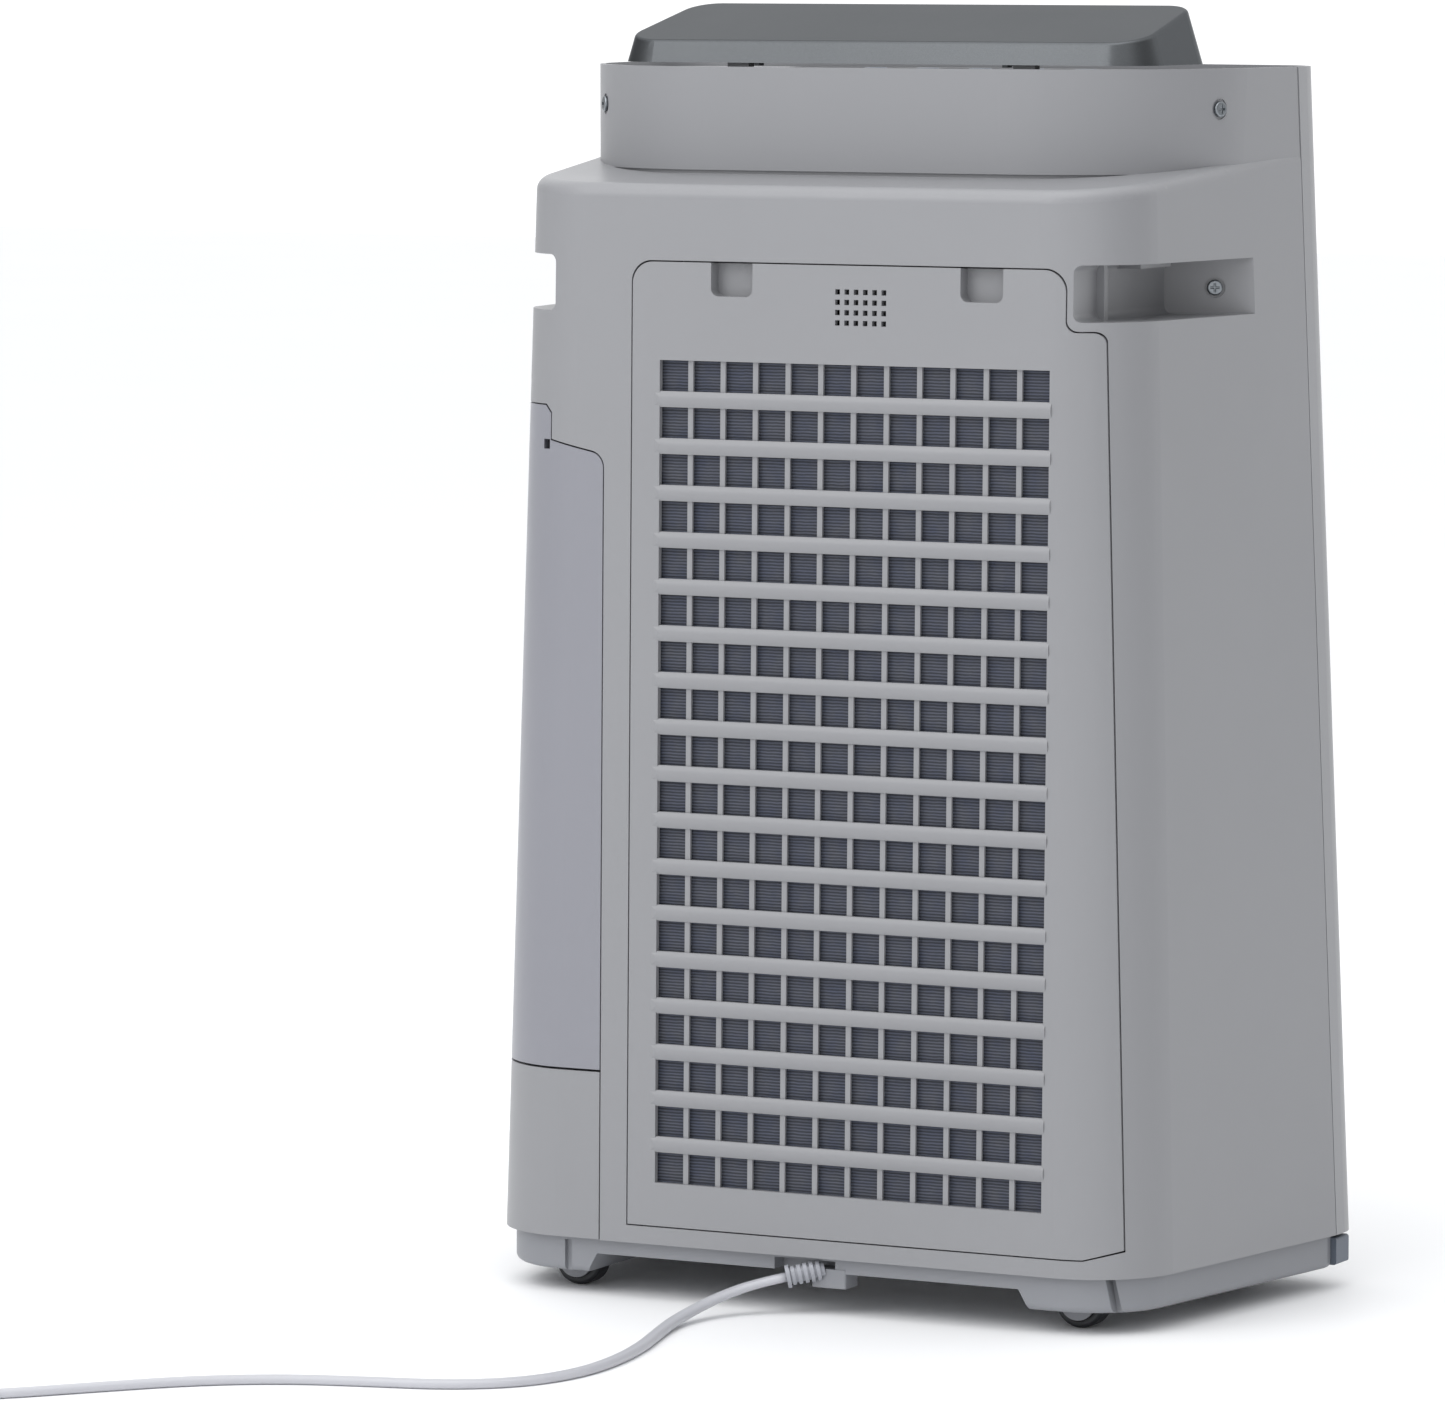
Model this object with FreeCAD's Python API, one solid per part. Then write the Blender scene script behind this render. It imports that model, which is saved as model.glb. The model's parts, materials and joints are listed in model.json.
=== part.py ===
"""Humidifying air purifier with a rear filter panel, side water tank, top louvre and castors.

Millimetres. +Z is up and the front faces -Y. The origin is on the floor under the middle of the casing.
The water tank is on the +X side. Each sub-part has a function, and the last section writes one STEP each.
"""

import FreeCAD, Part
import math
import os

V = FreeCAD.Vector

# ---- driving dimensions: casing -------------------------------------------------------------
RIM_Z = 28.8            # lower rim of the casing, on the base
NECK_Z = 620.0          # upper rim of the casing
REAR_Y = 119.0          # rear face at the lower rim
FRONT_Y = -119.0        # furthest point of the bowed front
LEAN = 0.0148           # forward lean of the rear face per unit of height
SPLIT_Y = -67.0         # joint plane between rear cabinet and front panel
FLAT_LOW, FLAT_TOP = 139.8, 125.0       # half of the flat part of the rear face
CORNER_LOW, CORNER_TOP = 47.0, 44.5     # radius of the rear corners
WIDE_LOW, WIDE_TOP = 210.5, 185.0       # half width at the joint plane
FRONT_CORNER = 26.0
FRONT_SIDE_Y = -78.0    # where the side turns into the front corner
WALL = 2.6
GAP = 0.7               # visible joint between neighbouring covers
SEAM = 0.4

SHOULDER_Z = 562.0      # outer edge of the shoulder at the rear face
SHOULDER_SLOPE = 0.096
SHOULDER_ROUND = 7.0
NECK_REAR_Y = 68.0
NECK_FLAT = 82.0
NECK_CORNER = 98.0
NECK_STEP = 0.4         # how far the neck's sides stand in from the casing's
NECK_SCREW_RIGHT, NECK_SCREW_LEFT = 20.0, 42.0      # where the screws stand round the neck's corners

# ---- rear panel and grille ------------------------------------------------------------------
PANEL_LEFT, PANEL_RIGHT_TOP, PANEL_RIGHT_MID, PANEL_RIGHT_LOW = 98.0, -140.0, -157.5, -171.5
PANEL_BOTTOM, PANEL_TOP, PANEL_JOG = 38.4, 523.6, 493.0
PANEL_ROUND, JOG_ROUND = 11.0, 5.5
PANEL_SKIN = 3.0
GRILLE_COLS, GRILLE_ROWS = 12, 18
GRILLE_X0, GRILLE_X1 = -132.5, 82.5
GRILLE_Z0, GRILLE_Z1 = 60.4, 474.6
BAR_WIDE, BAR_TALL = 2.8, 8.0
FINGER_WIDE, FINGER_DEEP, FINGER_Z = 23.2, 8.0, 507.0
FINGER_X = (42.4, -95.4)
SENSOR_COLS, SENSOR_ROWS, SENSOR_PITCH, SENSOR_HOLE = 6, 4, 5.1, 2.6
SENSOR_X, SENSOR_Z = -43.3, 494.0

# ---- tank, tray and handle recesses ---------------------------------------------------------
TANK_X, TANK_Y, TANK_Z0, TANK_Z1 = 114.5, -25.0, 115.4, 450.0
TRAY_SPLIT = 114.2
HANDLE_X, HANDLE_Y0, HANDLE_Z0, HANDLE_Z1 = 143.5, -27.0, 498.0, 526.0
HANDLE_END_Y, HANDLE_ROUND, HANDLE_SCREW_X = 2.0, 4.0, 166.0

# ---- filters and humidifying wheel ----------------------------------------------------------
STACK_X0, STACK_X1, STACK_Z0, STACK_Z1 = -141.0, 91.0, 51.0, 485.0
WHEEL_X, WHEEL_Z, WHEEL_Y0, WHEEL_Y1 = -14.0, 136.0, 22.0, 46.0
GEAR_MODULE, WHEEL_TEETH, PINION_TEETH = 2.5, 72, 14
PINION_ANGLE = 150.0

# ---- fan ------------------------------------------------------------------------------------
FAN_X, FAN_Z, FAN_Y0, FAN_Y1 = -8.0, 300.0, -84.0, -36.0
FAN_R, FAN_EYE_R, FAN_BLADES = 104.0, 82.0, 36

# ---- top ------------------------------------------------------------------------------------
LOUVRE_REAR_Y, LOUVRE_FRONT_Y, LOUVRE_HALF, LOUVRE_CORNER = 39.0, -49.0, 149.0, 23.0
LOUVRE_DRAFT, LOUVRE_LOFT = 12.6, 44.0      # how far the sides draw in over the loft's height
LOUVRE_CREASE_Z, LOUVRE_TILT = 632.0, 13.4
LOUVRE_HINGE_Y, LOUVRE_HINGE_Z, LOUVRE_PIN_R = 30.0, 623.0, 2.0
DECK_Z, SKIRT_TOP_Z = 613.0, 590.0
BUTTON_X = (-60.0, -30.0, 0.0, 30.0, 60.0)
BUTTON_Y = -84.0

# ---- base and castors -----------------------------------------------------------------------
BASE_INSET, SKIRT_Z, STRIP_Z, HOUSING_X = 5.0, 11.0, 21.0, 118.0
CASTOR_X, CASTOR_Y, CASTOR_R, CASTOR_WIDE, AXLE_R = 141.0, 86.0, 13.0, 13.0, 2.0
RUNNING_GAP = 0.05
STOPPER_X, STOPPER_Y, STOPPER_Z, STOPPER_PIN_R = 196.0, -80.0, 21.0, 1.6

# ---- power cord -----------------------------------------------------------------------------
CORD_R = 3.6
RELIEF_START, RELIEF_END = V(-10.0, 112.0, 22.6), V(6.5, 121.5, 18.6)
CORD_ROUTE = [
    (6.5, 121.5, 18.6), (20.5, 129.6, 15.2), (31.5, 143.0, 10.4), (37.5, 162.0, 5.8),
    (37.0, 187.0, 3.8), (29.5, 217.0, 3.6), (20.0, 250.0, 3.6), (13.0, 288.0, 3.6),
    (12.5, 328.0, 3.6), (25.0, 362.0, 3.6), (53.0, 384.0, 3.6), (92.0, 394.0, 3.6),
    (130.0, 406.0, 3.6), (166.0, 430.0, 3.6), (196.0, 464.0, 3.6), (228.0, 502.0, 3.6),
    (264.0, 534.0, 3.6), (302.0, 548.0, 3.6),
]
COIL_CENTRE, COIL_R, COIL_TUBE_R, COIL_HIGH = (318.0, 503.0), 38.0, 14.0, 23.0


# ---- helpers --------------------------------------------------------------------------------
def mix(low, high, t):
    return low + (high - low) * t


def box(x0, x1, y0, y1, z0, z1):
    return Part.makeBox(x1 - x0, y1 - y0, z1 - z0, V(x0, y0, z0))


def rod(r, start, end):
    start = V(*start)
    end = V(*end)
    return Part.makeCylinder(r, (end - start).Length, start, end - start)


def ring(r_out, r_in, start, end):
    return rod(r_out, start, end).cut(rod(r_in, start, end))


def mirror_x(shape):
    return shape.mirror(V(0, 0, 0), V(1, 0, 0))


def both_sides(shape):
    return [shape, mirror_x(shape)]


def join(shapes):
    whole = shapes[0]
    if len(shapes) > 1:
        whole = whole.fuse(shapes[1:])
    return whole.removeSplitter()


def prism(points, axis, low, high):
    """Extrudes an outline of (u, v) points: axis Y reads them as (x, z), Z as (x, y), X as (y, z)."""
    place = {"X": lambda u, v: V(low, u, v), "Y": lambda u, v: V(u, low, v), "Z": lambda u, v: V(u, v, low)}
    way = {"X": V(high - low, 0, 0), "Y": V(0, high - low, 0), "Z": V(0, 0, high - low)}
    corners = [place[axis](u, v) for u, v in points]
    return Part.Face(Part.makePolygon(corners + [corners[0]])).extrude(way[axis])


def leaned(shape):
    """Tips a shape drawn upright against the rear face to follow the face's lean."""
    turned = shape.copy()
    turned.rotate(V(0, REAR_Y, RIM_Z), V(1, 0, 0), math.degrees(math.atan(LEAN)))
    return turned


def rounded(shape, radius, wanted):
    edges = [e for e in shape.Edges if wanted(e)]
    return shape.makeFillet(radius, edges)


def upright(edge):
    a = edge.Vertexes[0].Point
    b = edge.Vertexes[-1].Point
    return abs(a.x - b.x) < 0.01 and abs(a.y - b.y) < 0.01


def along_y(edge):
    a = edge.Vertexes[0].Point
    b = edge.Vertexes[-1].Point
    return abs(a.x - b.x) < 0.01 and abs(a.z - b.z) < 0.01


# ---- casing outlines ------------------------------------------------------------------------
def line(x0, y0, x1, y1, z):
    return Part.LineSegment(V(x0, y0, z), V(x1, y1, z)).toShape()


def back_edges(z, rear, flat, corner, wide):
    """From the joint plane round the back: straight sides, round corners and a flat rear."""
    cy = rear - corner
    reach = math.hypot(wide - flat, SPLIT_Y - cy)
    turn = math.atan2(SPLIT_Y - cy, wide - flat) + math.acos(corner / reach)
    half = (turn + math.pi / 2) / 2
    tx = flat + corner * math.cos(turn)
    ty = cy + corner * math.sin(turn)
    mx = flat + corner * math.cos(half)
    my = cy + corner * math.sin(half)
    return [
        line(-wide, SPLIT_Y, -tx, ty, z),
        Part.Arc(V(-tx, ty, z), V(-mx, my, z), V(-flat, rear, z)).toShape(),
        line(-flat, rear, flat, rear, z),
        Part.Arc(V(flat, rear, z), V(mx, my, z), V(tx, ty, z)).toShape(),
        line(tx, ty, wide, SPLIT_Y, z),
    ]


def front_edges(z, wide, inset):
    """From the joint plane round the front: short sides, round corners and a bowed face."""
    r = FRONT_CORNER - inset
    cx = wide - r
    a, b = math.radians(-40), math.radians(-80)
    mid = V(cx + r * math.cos(a), FRONT_SIDE_Y + r * math.sin(a), z)
    end = V(cx + r * math.cos(b), FRONT_SIDE_Y + r * math.sin(b), z)
    far_mid, far_end = [V(-p.x, p.y, p.z) for p in (mid, end)]
    return [
        line(wide, SPLIT_Y, wide, FRONT_SIDE_Y, z),
        Part.Arc(V(wide, FRONT_SIDE_Y, z), mid, end).toShape(),
        Part.Arc(end, V(0, FRONT_Y + inset, z), far_end).toShape(),
        Part.Arc(far_end, far_mid, V(-wide, FRONT_SIDE_Y, z)).toShape(),
        line(-wide, FRONT_SIDE_Y, -wide, SPLIT_Y, z),
    ]


def closing_edges(z, wide, close_y):
    """Closes the back outline across the joint plane, or across close_y in front of it."""
    if close_y >= SPLIT_Y:
        return [line(wide, SPLIT_Y, -wide, SPLIT_Y, z)]
    return [line(wide, SPLIT_Y, wide, close_y, z), line(wide, close_y, -wide, close_y, z),
            line(-wide, close_y, -wide, SPLIT_Y, z)]


def level(z):
    return (z - RIM_Z) / (NECK_Z - RIM_Z)


def half_width(z):
    return mix(WIDE_LOW, WIDE_TOP, level(z))


def body_edges(z, inset):
    t = level(z)
    rear = REAR_Y - LEAN * (z - RIM_Z) - inset
    corner = mix(CORNER_LOW, CORNER_TOP, t) - inset
    return back_edges(z, rear, mix(FLAT_LOW, FLAT_TOP, t), corner, half_width(z) - inset)


def neck_edges(z, inset):
    return back_edges(z, NECK_REAR_Y - inset, NECK_FLAT, NECK_CORNER - inset, half_width(z) - inset)


def body_wire(z, inset, close_y):
    return Part.Wire(body_edges(z, inset) + closing_edges(z, half_width(z) - inset, close_y))


def neck_wire(z, inset, close_y):
    inset = inset + NECK_STEP
    return Part.Wire(neck_edges(z, inset) + closing_edges(z, half_width(z) - inset, close_y))


def front_wire(z, inset):
    wide = half_width(z) - inset
    return Part.Wire(front_edges(z, wide, inset) + [line(-wide, SPLIT_Y, wide, SPLIT_Y, z)])


def deck_wire(z, inset):
    """The whole upper outline, neck and front together."""
    inset = inset + NECK_STEP
    return Part.Wire(neck_edges(z, inset) + front_edges(z, half_width(z) - inset, inset))


def loft(wires):
    return Part.makeLoft(wires, True, True)


def body_solid(z0, z1, inset, close_y=SPLIT_Y):
    return loft([body_wire(z0, inset, close_y), body_wire(z1, inset, close_y)])


def neck_solid(z0, z1, inset, close_y=SPLIT_Y):
    return loft([neck_wire(z0, inset, close_y), neck_wire(z1, inset, close_y)])


def front_solid(z0, z1, inset):
    return loft([front_wire(z0, inset), front_wire(z1, inset)])


def deck_solid(z0, z1, inset):
    return loft([deck_wire(z0, inset), deck_wire(z1, inset)])


def above_shoulder(drop=0.0):
    """Everything above the sloping shoulder plane."""
    def z_at(y):
        return SHOULDER_Z - drop + SHOULDER_SLOPE * (REAR_Y - 8.0 - y)
    points = [(200, z_at(200)), (-200, z_at(-200)), (-200, 800), (200, 800)]
    return prism(points, "X", -300, 300)


# ---- rear cabinet ---------------------------------------------------------------------------
def panel_outline(grow):
    g = grow
    return [
        (PANEL_LEFT + g, PANEL_BOTTOM - g), (PANEL_LEFT + g, PANEL_TOP + g),
        (PANEL_RIGHT_TOP - g, PANEL_TOP + g), (PANEL_RIGHT_TOP - g, PANEL_JOG + g),
        (PANEL_RIGHT_MID - g, PANEL_JOG + g), (PANEL_RIGHT_LOW - g, PANEL_BOTTOM + 4.6 - g),
        (-154.0, PANEL_BOTTOM - g),
    ]


def panel_prism(grow, y0, y1):
    body = prism(panel_outline(grow), "Y", y0, y1)

    def at_height(edge, z):
        return along_y(edge) and abs(edge.Vertexes[0].Point.z - z) < 2
    body = rounded(body, PANEL_ROUND, lambda e: at_height(e, PANEL_TOP))
    return rounded(body, JOG_ROUND, lambda e: at_height(e, PANEL_JOG))


def tank_prism(grow, z0, z1, y0):
    g = grow
    x0 = TANK_X - g
    points = [(x0, z0), (x0, z1 - 24 + g), (146 - g, z1 - 17.5 + g),
              (146 - g, z1 - 4 + g), (150 - g, z1 + g), (260, z1 + g), (260, z0)]
    body = prism(points, "Y", y0, REAR_Y + 10)
    return rounded(body, 8.0 + g, lambda e: along_y(e) and abs(e.Vertexes[0].Point.z - (z1 - 24 + g)) < 0.1)


def handle_prism(grow):
    g = grow
    points = [(-HANDLE_X + g, 140), (-HANDLE_X + g, HANDLE_END_Y - g), (-202, HANDLE_Y0 - g),
              (-260, HANDLE_Y0 - g), (-260, 140)]
    body = prism(points, "Z", HANDLE_Z0 - g, HANDLE_Z1 + g)
    return rounded(body, HANDLE_ROUND + g, lambda e: along_y(e) and e.Vertexes[0].Point.x > -HANDLE_X - 1)


def neck_screw_place(side):
    """A point on the neck wall and the way its normal points, for the upper cabinet screws."""
    turn = math.radians(NECK_SCREW_RIGHT if side < 0 else NECK_SCREW_LEFT)
    x = NECK_FLAT + NECK_CORNER * math.cos(turn)
    y = NECK_REAR_Y - NECK_CORNER + NECK_CORNER * math.sin(turn)
    return V(side * x, y, 600.0), V(side * math.cos(turn), math.sin(turn), 0)


def handle_screw_place(side):
    across = V(-202 + HANDLE_X, HANDLE_Y0 - HANDLE_END_Y, 0)
    normal = V(across.y, -across.x, 0).normalize()
    y = mix(HANDLE_END_Y, HANDLE_Y0, (HANDLE_SCREW_X - HANDLE_X) / (202 - HANDLE_X))
    return V(side * HANDLE_SCREW_X, y, 511.0), V(side * abs(normal.x), abs(normal.y), 0)


def cabinet_screw_places():
    places = []
    for side in (-1, 1):
        places.append(neck_screw_place(side))
        places.append(handle_screw_place(side))
    return places


def make_rear_cabinet():
    body = body_solid(RIM_Z, 600, 0).cut(above_shoulder())

    def top_rim(edge):
        box_ = edge.BoundBox
        return box_.ZMin > SHOULDER_Z - 4 and box_.YMax > SPLIT_Y + 1
    body = rounded(body, SHOULDER_ROUND, top_rim)
    outer = body.fuse(neck_solid(548, NECK_Z, 0))
    inner = body_solid(RIM_Z - 1, 600, WALL, SPLIT_Y - 5).cut(above_shoulder(WALL + 1.0))
    inner = inner.fuse(neck_solid(540, NECK_Z + 1, WALL, SPLIT_Y - 5))
    shell = outer.cut(inner)
    liners = [handle_prism(2.4), mirror_x(handle_prism(2.4))]
    shell = shell.fuse([liner.common(outer) for liner in liners])
    shell = shell.cut([handle_prism(0), mirror_x(handle_prism(0))])
    seat_of_panel = panel_prism(GAP, 60, REAR_Y + 10).cut(box(-150, 300, 50, 100, 0, 700))
    shell = shell.cut(seat_of_panel)
    shell = shell.cut(tank_prism(GAP, TANK_Z0 - 4, TANK_Z1, TANK_Y - 1))
    shell = shell.cut(box(TANK_X - GAP, 260, TANK_Y - 1, REAR_Y + 10, RIM_Z - 2, TANK_Z0))
    groove = neck_solid(566.4, 568.2, -1.0).cut(neck_solid(566.0, 568.6, 1.8))
    shell = shell.cut(groove.common(box(-160, 160, 46, 80, 560, 575)))
    for point, normal in cabinet_screw_places():
        shell = shell.cut(rod(5.2, point - normal * 1.2, point + normal * 12))
        shell = shell.cut(rod(1.9, point - normal * 8, point + normal * 2))
    ridge = box(-HANDLE_X - 4.0, -HANDLE_X + 1, 78, 82, HANDLE_Z0 - 1, HANDLE_Z1 + 1)
    lip = box(-156, -HANDLE_X + 1, 22, 58, HANDLE_Z1 - 3.4, HANDLE_Z1 + 1)
    return shell.fuse(both_sides(ridge) + both_sides(lip)).removeSplitter()


def make_cabinet_screws():
    screws = []
    for point, normal in cabinet_screw_places():
        head = rod(3.9, point - normal * 1.2, point + normal * 1.0)
        head = head.makeFillet(0.9, [e for e in head.Edges if (e.CenterOfMass - point).dot(normal) > 0.9])
        shank = rod(1.6, point - normal * 9, point - normal * 1.1)
        across = normal.cross(V(0, 0, 1))
        slots = []
        for way in (across, V(0, 0, 1)):
            slots.append(rod(0.65, point + way * 2.3 + normal * 0.8, point - way * 2.3 + normal * 0.8))
        screws.append(head.fuse(shank).cut(slots))
    return Part.makeCompound(screws)


# ---- rear panel -----------------------------------------------------------------------------
def grille_edges(low, high, count, bar):
    """The low edge of each opening and the size of an opening."""
    opening = (high - low - bar * (count - 1)) / count
    return [low + i * (opening + bar) for i in range(count)], opening


def make_rear_panel():
    window = box(GRILLE_X0, GRILLE_X1, 50, REAR_Y + 20, GRILLE_Z0, GRILLE_Z1)
    skin = body_solid(RIM_Z, 560, 0).cut(body_solid(RIM_Z - 1, 561, PANEL_SKIN))
    skin = skin.common(panel_prism(0, 60, REAR_Y + 10).cut(window))
    face = REAR_Y
    cups = []
    pockets = []
    for x in FINGER_X:
        half = FINGER_WIDE / 2
        pocket = box(x - half, x + half, face - FINGER_DEEP, face + 5, FINGER_Z, PANEL_TOP + 5)
        pocket = rounded(pocket, 4.0, lambda e: along_y(e) and e.Vertexes[0].Point.z < FINGER_Z + 1)
        cup = box(x - half - 2, x + half + 2, face - FINGER_DEEP - 2, face - 1, FINGER_Z - 2, PANEL_TOP - 0.2)
        pockets.append(leaned(pocket))
        cups.append(leaned(cup))
    skin = skin.fuse(cups).cut(pockets)
    tools = []
    for i in range(SENSOR_COLS):
        for k in range(SENSOR_ROWS):
            x = SENSOR_X + i * SENSOR_PITCH
            z = SENSOR_Z + k * SENSOR_PITCH
            tools.append(box(x, x + SENSOR_HOLE, 90, REAR_Y + 5, z, z + SENSOR_HOLE))
    skin = skin.cut(Part.makeCompound(tools))
    return join([skin, leaned(make_grille_bars())])


def make_grille_bars():
    cols, wide = grille_edges(GRILLE_X0, GRILLE_X1, GRILLE_COLS, BAR_WIDE)
    rows, tall = grille_edges(GRILLE_Z0, GRILLE_Z1, GRILLE_ROWS, BAR_TALL)
    face = REAR_Y
    bars = []
    for x in cols[1:]:
        bars.append(box(x - BAR_WIDE, x, face - 2.9, face - 1.4, GRILLE_Z0 - 1, GRILLE_Z1 + 1))
    for z in rows[1:]:
        bars.append(bar_profile(z - BAR_TALL / 2, GRILLE_X0 - 1, GRILLE_X1 + 8))
    return join(bars)


def bar_profile(mid, x0, x1):
    """A horizontal grille bar with a crowned face that stands a little proud."""
    half = BAR_TALL / 2
    face = REAR_Y
    low = V(x0, face - 0.5, mid - half)
    top = V(x0, face - 0.5, mid + half)
    crown = Part.Arc(low, V(x0, face + 0.75, mid), top).toShape()
    back = Part.makePolygon([top, V(x0, face - 2.9, mid + half), V(x0, face - 2.9, mid - half), low])
    section = Part.Face(Part.Wire([crown] + back.Edges))
    bar = section.extrude(V(x1 - x0, 0, 0))
    end_slope = prism([(x1 - 9, face + 1), (x1 + 1, face + 1), (x1 + 1, face - 3), (x1, face - 1.2)], "Z",
                      mid - half - 1, mid + half + 1)
    return bar.cut(end_slope)


def make_prefilter_mesh():
    y0 = REAR_Y - 5.8
    frame = box(GRILLE_X0 - 4, GRILLE_X1 + 6, y0, y0 + 1.6, GRILLE_Z0 - 6, GRILLE_Z1 + 6)
    frame = frame.cut(box(GRILLE_X0 - 1, GRILLE_X1 + 1, y0 - 1, y0 + 3, GRILLE_Z0 - 1, GRILLE_Z1 + 1))
    net = box(GRILLE_X0 - 2, GRILLE_X1 + 2, y0 + 0.6, y0 + 1.2, GRILLE_Z0 - 2, GRILLE_Z1 + 2)
    return leaned(frame.fuse(net))


# ---- filters --------------------------------------------------------------------------------
def make_carbon_filter():
    y1 = REAR_Y - 7.0
    y0 = y1 - 9.0
    tray = box(STACK_X0, STACK_X1, y0, y1, STACK_Z0, STACK_Z1)
    tray = tray.cut(box(STACK_X0 + 6, STACK_X1 - 6, y0 - 1, y1 + 1, STACK_Z0 + 6, STACK_Z1 - 6))
    bed = box(STACK_X0 + 5, STACK_X1 - 5, y0 + 2, y1 - 2, STACK_Z0 + 5, STACK_Z1 - 5)
    tab = box(-40, -10, y1 - 1, y1 + 0.8, STACK_Z1 - 8, STACK_Z1 - 1)
    return leaned(join([tray, bed, tab]))


HEPA_Y1 = REAR_Y - 17.0
HEPA_Y0 = HEPA_Y1 - 32.0


def make_hepa_frame():
    frame = box(STACK_X0, STACK_X1, HEPA_Y0, HEPA_Y1, STACK_Z0, STACK_Z1)
    frame = frame.cut(box(STACK_X0 + 5, STACK_X1 - 5, HEPA_Y0 - 1, HEPA_Y1 + 1, STACK_Z0 + 5, STACK_Z1 - 5))
    tab = box(10, 40, HEPA_Y1 - 2, HEPA_Y1 + 0.8, STACK_Z1 - 4, STACK_Z1 + 9)
    return leaned(frame.fuse(tab))


def make_hepa_pleats():
    pitch = 5.5
    count = int((STACK_X1 - STACK_X0 - 11) / pitch)
    x0 = (STACK_X0 + STACK_X1) / 2 - count * pitch / 2
    near = []
    for i in range(count * 2 + 1):
        near.append((x0 + i * pitch / 2, HEPA_Y0 + 3 if i % 2 else HEPA_Y1 - 3))
    far = [(x, y - 1.6) for x, y in reversed(near)]
    return leaned(prism(near + far, "Z", STACK_Z0 + 5.2, STACK_Z1 - 5.2))


def make_filter_frame():
    """The partition behind the filters, with the air opening and the inlet collar for the wheel."""
    y1 = HEPA_Y0 - 8.0
    y0 = y1 - 3.0
    plate = box(STACK_X0 - 2.6, STACK_X1 + 5, y0, y1, 34, 548)
    eye = rod(WHEEL_TEETH * GEAR_MODULE / 2 - 8, (WHEEL_X, y0 - 1, WHEEL_Z), (WHEEL_X, y1 + 1, WHEEL_Z))
    cells = []
    for i in range(5):
        for k in range(5):
            x = STACK_X0 + 14 + i * 42
            z = 246 + k * 46
            cells.append(box(x, x + 36, y0 - 1, y1 + 1, z, z + 40))
    notch = box(STACK_X0 - 5, STACK_X0 + 1, y0 - 1, y1 + 1, HANDLE_Z0 - 4, HANDLE_Z1 + 4)
    plate = plate.cut([eye, notch] + cells)
    side = box(STACK_X1 + 2.6, STACK_X1 + 5.0, y0, 106, 34, 500)
    far_side = box(STACK_X0 - 5.0, STACK_X0 - 2.6, y0, 102, 34, 494)
    floor_ = box(STACK_X0 - 5.0, STACK_X1 + 5.0, y0, 107, 44, 47)
    return join([plate, side, far_side, floor_])


# ---- humidifying wheel ----------------------------------------------------------------------
def gear(teeth, y0, y1, x, z, first_tooth, bore):
    """A spur gear on a Y axis, with one tooth centred at the angle first_tooth."""
    pitch_r = GEAR_MODULE * teeth / 2
    step = 2 * math.pi / teeth
    points = []
    for i in range(teeth):
        mid = math.radians(first_tooth) + i * step
        for r, share in ((pitch_r - 2.6, -0.30), (pitch_r + 1.9, -0.12), (pitch_r + 1.9, 0.12),
                         (pitch_r - 2.6, 0.30)):
            a = mid + share * step
            points.append((x + r * math.cos(a), z + r * math.sin(a)))
    body = prism(points, "Y", y0, y1)
    return body.cut(rod(bore, (x, y0 - 1, z), (x, y1 + 1, z)))


def pinion_centre():
    reach = GEAR_MODULE * (WHEEL_TEETH + PINION_TEETH) / 2 + 0.25
    turn = math.radians(PINION_ANGLE)
    return WHEEL_X + reach * math.cos(turn), WHEEL_Z + reach * math.sin(turn)


def make_wheel_frame():
    half_step = 180.0 / WHEEL_TEETH
    y_mid = (WHEEL_Y0 + WHEEL_Y1) / 2
    rim_r = GEAR_MODULE * WHEEL_TEETH / 2 - 9
    toothed = gear(WHEEL_TEETH, WHEEL_Y0, WHEEL_Y0 + 7, WHEEL_X, WHEEL_Z, PINION_ANGLE + half_step, rim_r)
    here = (WHEEL_X, WHEEL_Y0, WHEEL_Z)
    there = (WHEEL_X, WHEEL_Y1, WHEEL_Z)
    hoop = ring(rim_r + 4, rim_r, here, there)
    hub = ring(13, 4 + RUNNING_GAP, here, there)
    spokes = []
    for i in range(6):
        spoke = box(WHEEL_X + 12, WHEEL_X + rim_r + 1, WHEEL_Y0, WHEEL_Y0 + 3, WHEEL_Z - 2, WHEEL_Z + 2)
        spoke.rotate(V(WHEEL_X, y_mid, WHEEL_Z), V(0, 1, 0), i * 60)
        spokes.append(spoke)
    return join([toothed, hoop, hub] + spokes)


def make_wheel_media():
    rim_r = GEAR_MODULE * WHEEL_TEETH / 2 - 9
    body = ring(rim_r - 0.2, 13.2, (WHEEL_X, WHEEL_Y0 + 3.3, WHEEL_Z), (WHEEL_X, WHEEL_Y1 - 1, WHEEL_Z))
    return body


def make_drive_pinion():
    x, z = pinion_centre()
    return gear(PINION_TEETH, WHEEL_Y0 + 0.5, WHEEL_Y0 + 6.5, x, z, PINION_ANGLE + 180, 2.5 + RUNNING_GAP)


def make_wheel_motor():
    x, z = pinion_centre()
    case = rod(14, (x, WHEEL_Y0 - 22, z), (x, WHEEL_Y0 - 4, z))
    shaft = rod(2.5, (x, WHEEL_Y0 - 5, z), (x, WHEEL_Y0 + 9, z))
    ears = box(x - 21, x + 21, WHEEL_Y0 - 8, WHEEL_Y0 - 6, z - 5, z + 5)
    return join([case, shaft, ears])


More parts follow.
